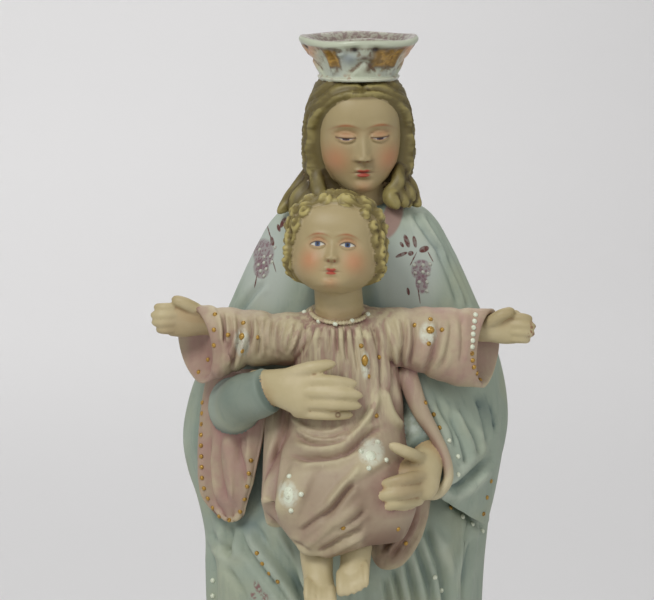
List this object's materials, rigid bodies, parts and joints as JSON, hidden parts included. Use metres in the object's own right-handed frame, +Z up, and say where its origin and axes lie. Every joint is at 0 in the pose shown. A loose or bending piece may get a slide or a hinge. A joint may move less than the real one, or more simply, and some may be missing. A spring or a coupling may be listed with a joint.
{
  "type": "madonna and child statue",
  "caption": "Crowned mother holding a child with outstretched arms, slip-cast in painted bisque as one piece on a low base, for display on a shelf.",
  "frame": {"origin": "middle of the underside of the base", "axes": "+Z up along the height of the figure, -Y the way both figures face, +X to the left side of the mother"},
  "size_m": [0.1718, 0.1353, 0.4171],
  "materials": {
    "painted_bisque": "matt painted bisque in pale blue-green, dusty pink and cream",
    "gilding": "worn gold paint on raised drops of enamel",
    "white_enamel": "raised drops of glossy white enamel"
  },
  "bodies": {
    "root": {"madonna_and_child": "painted_bisque"}
  },
  "joints": []
}
